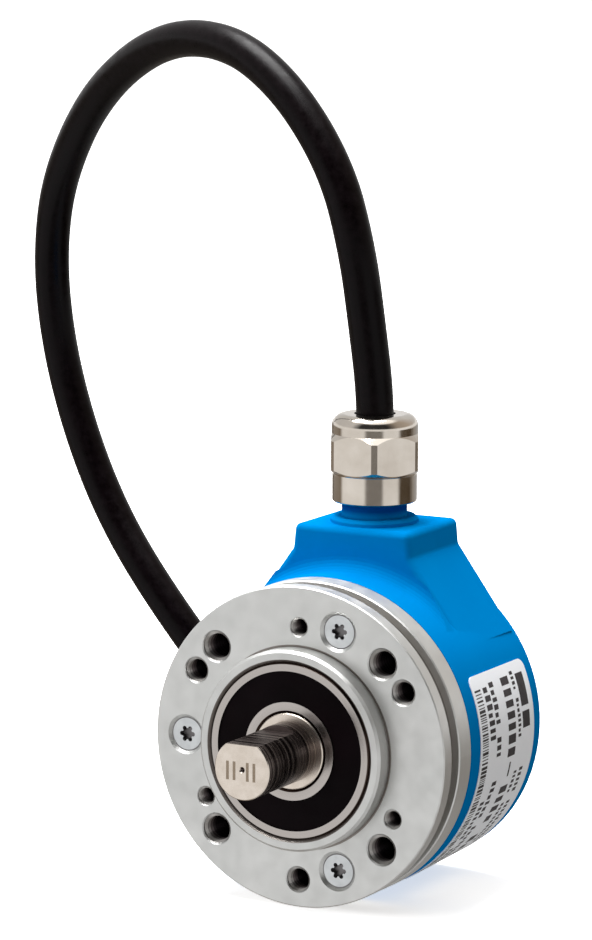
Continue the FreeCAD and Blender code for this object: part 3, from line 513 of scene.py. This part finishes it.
def dress_nodes(materials):
    """Gives each CAD node its one material."""
    for name, node in NODES.items():
        node.data.materials.clear()
        node.data.materials.append(materials[NODE_MATERIAL[name]])
        for face in node.data.polygons:
            face.material_index = 0


# ---------------------------------------------------------------- threads, print and end mark

def add_piece(name, mesh, material):
    """A finished bmesh as an object with its material."""
    data = bpy.data.meshes.new(name)
    bmesh.ops.recalc_face_normals(mesh, faces=mesh.faces)
    mesh.to_mesh(data)
    mesh.free()
    data.materials.append(material)
    piece = bpy.data.objects.new(name, data)
    bpy.context.collection.objects.link(piece)
    return piece


# circle radius, wall radius, crest radius, mouth radius, pitch, depth, angles
TAPPED_HOLES = (
    (20.64, 2.413, 1.98, 2.60, 0.794, 7.0, (45, 135, 225, 315)),
    (21.00, 2.000, 1.65, 2.15, 0.700, 6.0, (30, 150, 270)),
    (19.05, 1.500, 1.24, 1.62, 0.500, 6.0, (90, 210, 330)),
)
# share of the pitch and share of the thread's height, from one root to the next
THREAD_PROFILE = ((0.0, 0.0), (0.14, 0.0), (0.50, 1.0), (0.64, 1.0))
THREAD_SEGMENTS, FOOT_SEGMENTS = 36, 24


def cut_thread(mesh, centre, wall, crest, mouth, pitch, depth):
    """A helical thread in a hole at centre (x, z), chamfered at its mouth, closed at its foot."""
    start, wall = mouth - wall, wall - 0.004
    rows = []
    for number in range(-1, math.ceil(depth / pitch) + 1):
        for share, height in THREAD_PROFILE:
            rows.append(((number + share) * pitch, wall + (crest - wall) * height))
    grid = []
    for segment in range(THREAD_SEGMENTS):
        share = segment / THREAD_SEGMENTS
        angle = 2 * math.pi * share
        line = []
        for place, radius in rows:
            y = min(max(place + share * pitch, start), depth - 0.02)
            reach = min(wall, max(radius, mouth - y))
            line.append(mesh.verts.new(((centre[0] + reach * math.cos(angle)) * MM, y * MM,
                                        (centre[1] + reach * math.sin(angle)) * MM)))
        grid.append(line)
    lead = len(THREAD_PROFILE)
    for segment in range(THREAD_SEGMENTS):
        line = grid[segment]
        last = segment == THREAD_SEGMENTS - 1
        beside = grid[0][lead:] if last else grid[segment + 1]
        for row in range(len(line) - 1):
            if row + 1 >= len(beside):
                break
            corners = (line[row], line[row + 1], beside[row], beside[row + 1])
            heights = [corner.co.y for corner in corners]
            if max(heights) - min(heights) > 1e-7:
                mesh.faces.new((line[row], line[row + 1], beside[row + 1], beside[row]))
    foot = []
    for step in range(FOOT_SEGMENTS):
        x, z = polar(wall, 360 * step / FOOT_SEGMENTS)
        place = ((centre[0] + x) * MM, (depth - 0.03) * MM, (centre[1] + z) * MM)
        foot.append(mesh.verts.new(place))
    mesh.faces.new(foot)


def add_threads(materials):
    """The threads of all ten tapped holes, as one piece."""
    mesh = bmesh.new()
    for circle, wall, crest, mouth, pitch, depth, angles in TAPPED_HOLES:
        for angle in angles:
            cut_thread(mesh, polar(circle, angle), wall, crest, mouth, pitch, depth)
    piece = add_piece("hole_threads", mesh, materials["thread"])
    for face in piece.data.polygons:
        face.use_smooth = False
    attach(piece, "stator")


CUP_START, CUP_LENGTH, CUP_MOUTH, CUP_DRAFT = 9.2, 25.6, 25.4, 0.6
LABEL_FILM, PRINT_DEPTH, PRINT_HEIGHT = 0.12, 0.01, 0.012


def label_face(y):
    """The label's outside radius, which follows the cup's draft."""
    return CUP_MOUTH + LABEL_FILM - CUP_DRAFT * (y - CUP_START) / CUP_LENGTH


def arc_plate(mesh, low, high, start, end):
    """A thin printed patch on the label: two places along Y and two angles round the cup."""
    steps = max(1, math.ceil(abs(end - start) / 2))
    rings = []
    for step in range(steps + 1):
        angle = math.radians(start + (end - start) * step / steps)
        ring = []
        for lift, y in ((-PRINT_DEPTH, low), (PRINT_HEIGHT, low), (PRINT_HEIGHT, high),
                        (-PRINT_DEPTH, high)):
            radius = label_face(y) + lift
            ring.append(mesh.verts.new((radius * math.cos(angle) * MM, y * MM,
                                        radius * math.sin(angle) * MM)))
        rings.append(ring)
    for first, second in zip(rings, rings[1:]):
        for side in range(4):
            after = (side + 1) % 4
            mesh.faces.new((first[side], first[after], second[after], second[side]))
    mesh.faces.new(rings[0])
    mesh.faces.new(rings[-1])


# Rows of filler blocks on the label: low and high place along Y, block width and gap in degrees,
# then runs of angles round the cup.
LABEL_ROWS = (
    (26.5, 27.5, 1.15, 0.75, ((22.5, 15.0), (12.5, -2.5))),
    (22.8, 25.5, 3.0, 1.6, ((21.5, -7.5), (-19.0, -38.0), (-42.0, -58.0))),
    (18.5, 20.0, 1.7, 1.0, ((21.5, 5.5), (1.5, -8.0))),
    (16.1, 18.0, 1.9, 1.1, ((20.5, 0.0),)),
    (28.6, 29.8, 1.3, 0.9, ((-14.0, -24.0), (-28.0, -52.0))),
    (26.6, 27.6, 1.2, 0.8, ((-14.5, -24.0), (-28.0, -48.0))),
    (18.6, 20.2, 1.6, 1.0, ((-15.0, -30.0), (-34.0, -56.0))),
    (16.4, 17.8, 1.4, 0.9, ((-22.0, -40.0), (-44.0, -58.0))),
)
# Plain bands and the bar pattern: low and high place along Y, first and last angle.
LABEL_BANDS = ((28.2, 30.8, 21.0, 9.0), (28.2, 30.8, 7.0, 1.0), (24.0, 24.5, -9.8, -15.3))
LABEL_BARS = (13.2, 15.3, 20.5, -59.0)


def add_label_print(materials):
    """Blocks in place of writing and a bar pattern that stands for no number."""
    chance = random.Random(20)
    mesh = bmesh.new()
    for low, high, start, end in LABEL_BANDS:
        arc_plate(mesh, low, high, start, end)
    for low, high, width, gap, runs in LABEL_ROWS:
        for start, end in runs:
            angle = start
            while angle - width >= end:
                block = width * chance.uniform(0.75, 1.15)
                drop = (high - low) * chance.choice((0, 0, 0, 0.25))
                arc_plate(mesh, low, high - drop, angle, angle - block)
                angle -= block + gap
    low, high, angle, end = LABEL_BARS
    while angle > end:
        block = chance.choice((0.35, 0.35, 0.7, 1.1))
        arc_plate(mesh, low, high, angle, angle - block)
        angle -= block + chance.choice((0.4, 0.45, 0.8))
    piece = add_piece("label_print", mesh, materials["ink"])
    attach(piece, "stator")


def add_end_mark(materials):
    """Plain strokes etched on the shaft's end, two each side of its centre, in place of a size."""
    half, bottom, top = 0.24, -1.7, 1.2
    mesh = bmesh.new()
    for centre in (-2.5, -1.35, 0.95, 2.1):
        left, right = centre - half, centre + half
        corners = [(left, bottom), (right, bottom), (right, top), (left, top)]
        front, back = [[mesh.verts.new((x * MM, y * MM, z * MM)) for x, z in corners]
                       for y in (SHAFT_FACE - 0.006, SHAFT_FACE + 0.02)]
        mesh.faces.new(front)
        mesh.faces.new(back)
        for side in range(4):
            after = (side + 1) % 4
            mesh.faces.new((front[side], front[after], back[after], back[side]))
    piece = add_piece("shaft_end_mark", mesh, materials["etch"])
    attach(piece, "rotor")


# ---------------------------------------------------------------- cable

# Control points, the same as in part.py up to the coil. From the fourth on they are the printed
# result of a program that fitted the cable to the photograph.
CABLE_ROUTE = [
    (0, GLAND_PLACE, NUT_TOP), (-0.1, 25, 53.5), (-0.8, 24.2, 61.8), (-1.6, 22.1, 74.9),
    (-6.2, 23.5, 88), (-16.7, 26.4, 100.2), (-30.6, 32.4, 106.8), (-47.8, 40.6, 106),
    (-66.4, 51.3, 96), (-79.7, 60.4, 80.6), (-84.6, 65, 65.6), (-83.7, 66.2, 50.2),
    (-78.4, 64.8, 35.2), (-71.4, 63.8, 21.5), (-60.9, 61.1, 9.3), (-45.8, 61.4, -8.1),
    (-36.5, 66.2, -16.6), (-27.5, 73, -21.1),
]
COIL_CENTRE, COIL_Z = (-47.0, 101.0), -22.4
COIL_START, COIL_TURNS, COIL_STEP = -50, 1.22, 15
COIL_REACH = 33
TIE_ANGLE = 90


def coil_radius(angle):
    """The spiral's radius, which draws in by one cable diameter a turn."""
    return COIL_REACH - 2 * CABLE_RADIUS * (angle - COIL_START) / 360


def coil_points():
    """A flat spiral on the floor."""
    points = []
    count = round(COIL_TURNS * 360 / COIL_STEP)
    for number in range(count + 1):
        angle = COIL_START + COIL_STEP * number
        x, y = polar(coil_radius(angle), angle)
        points.append((COIL_CENTRE[0] + x, COIL_CENTRE[1] + y, COIL_Z))
    return points


def add_box(mesh, low, high):
    """A closed box between two corners in millimetres."""
    corners = [mesh.verts.new((x * MM, y * MM, z * MM)) for x in (low[0], high[0])
               for y in (low[1], high[1]) for z in (low[2], high[2])]
    for face in ((0, 1, 3, 2), (4, 6, 7, 5), (0, 4, 5, 1), (2, 3, 7, 6), (0, 2, 6, 4),
                 (1, 5, 7, 3)):
        mesh.faces.new([corners[number] for number in face])


def add_tie(materials):
    """The tie pulled tight round the cable on the coil's far side, with its head and cut tail."""
    middle_x, middle_y = COIL_CENTRE[0], COIL_CENTRE[1] + coil_radius(TIE_ANGLE)
    section = ((-1.8, 2.9), (-1.8, 3.7), (-1.55, 3.85), (1.55, 3.85), (1.8, 3.7), (1.8, 2.9))
    steps = 40
    mesh = bmesh.new()
    rings = []
    for step in range(steps):
        ring = []
        for x, radius in section:
            y, z = polar(radius, 360 * step / steps)
            z = max(COIL_Z + z, FLOOR_Z + 0.02)
            ring.append(mesh.verts.new(((middle_x + x) * MM, (middle_y + y) * MM, z * MM)))
        rings.append(ring)
    for first, second in zip(rings, rings[1:] + rings[:1]):
        for side in range(len(section)):
            after = (side + 1) % len(section)
            mesh.faces.new((first[side], first[after], second[after], second[side]))
    head, tail = (2.5, -2.0, 2.0, -19.0, -17.0), (1.6, -4.6, -2.0, -18.7, -17.9)
    for half, near, far, low, high in (head, tail):
        add_box(mesh, (middle_x - half, middle_y + near, low),
                (middle_x + half, middle_y + far, high))
    tie = add_piece("coil_tie", mesh, materials["black"])
    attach(tie, "stator")
    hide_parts("cable_tie")
    return tie


def add_cable(materials):
    """The cable from the gland over its arch and round the coil, as one swept curve."""
    data = bpy.data.curves.new("cable", "CURVE")
    data.dimensions = "3D"
    data.bevel_depth = CABLE_RADIUS * MM
    data.bevel_resolution = 10
    data.resolution_u = 16
    data.use_fill_caps = True
    points = CABLE_ROUTE + coil_points()
    spline = data.splines.new("NURBS")
    spline.points.add(len(points) - 1)
    for point, place in zip(spline.points, points):
        point.co = (*[amount * MM for amount in place], 1)
    spline.order_u = 3
    spline.use_endpoint_u = True
    cable = bpy.data.objects.new("cable", data)
    bpy.context.collection.objects.link(cable)
    data.materials.append(materials["jacket"])
    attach(cable, "stator")
    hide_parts("cable_arch", "cable_coil")
    add_tie(materials)


# ---------------------------------------------------------------- floor and scene

def add_stage():
    """A plain pale floor that neither tints nor shows in the object."""
    mesh = bpy.data.meshes.new("floor")
    reach, height = 6.0, FLOOR_Z * MM
    corners = [(-reach, -reach, height), (reach, -reach, height), (reach, reach, height),
               (-reach, reach, height)]
    mesh.from_pydata(corners, [], [(0, 1, 2, 3)])
    floor = bpy.data.objects.new("floor", mesh)
    item = Shader("floor_white", (0.86, 0.86, 0.86), 0.0, 0.9, Emission_Color=(1, 1, 1, 1),
                  Emission_Strength=0.6, Specular_IOR_Level=0.0)
    item.tint(item.noise(3, 2), (0.85, 0.85, 0.85), (0.87, 0.87, 0.87))
    mesh.materials.append(item.material)
    bpy.context.collection.objects.link(floor)
    floor.visible_glossy = False
    floor.visible_diffuse = False


def main():
    """Builds the materials and the pieces, then the floor, the camera and the light."""
    materials = make_materials()
    dress_nodes(materials)
    add_threads(materials)
    add_label_print(materials)
    add_end_mark(materials)
    add_cable(materials)
    add_stage()
    add_camera()
    add_world()
    add_light("key", (-0.25, 0.1, 1.1), (0, 0.02, 0), 0.7, 26)
    add_light("front", (-0.75, -0.75, 0.5), (0, 0, 0), 0.5, 4, mirrored=False)
    bpy.context.scene.view_settings.view_transform = "Standard"


main()
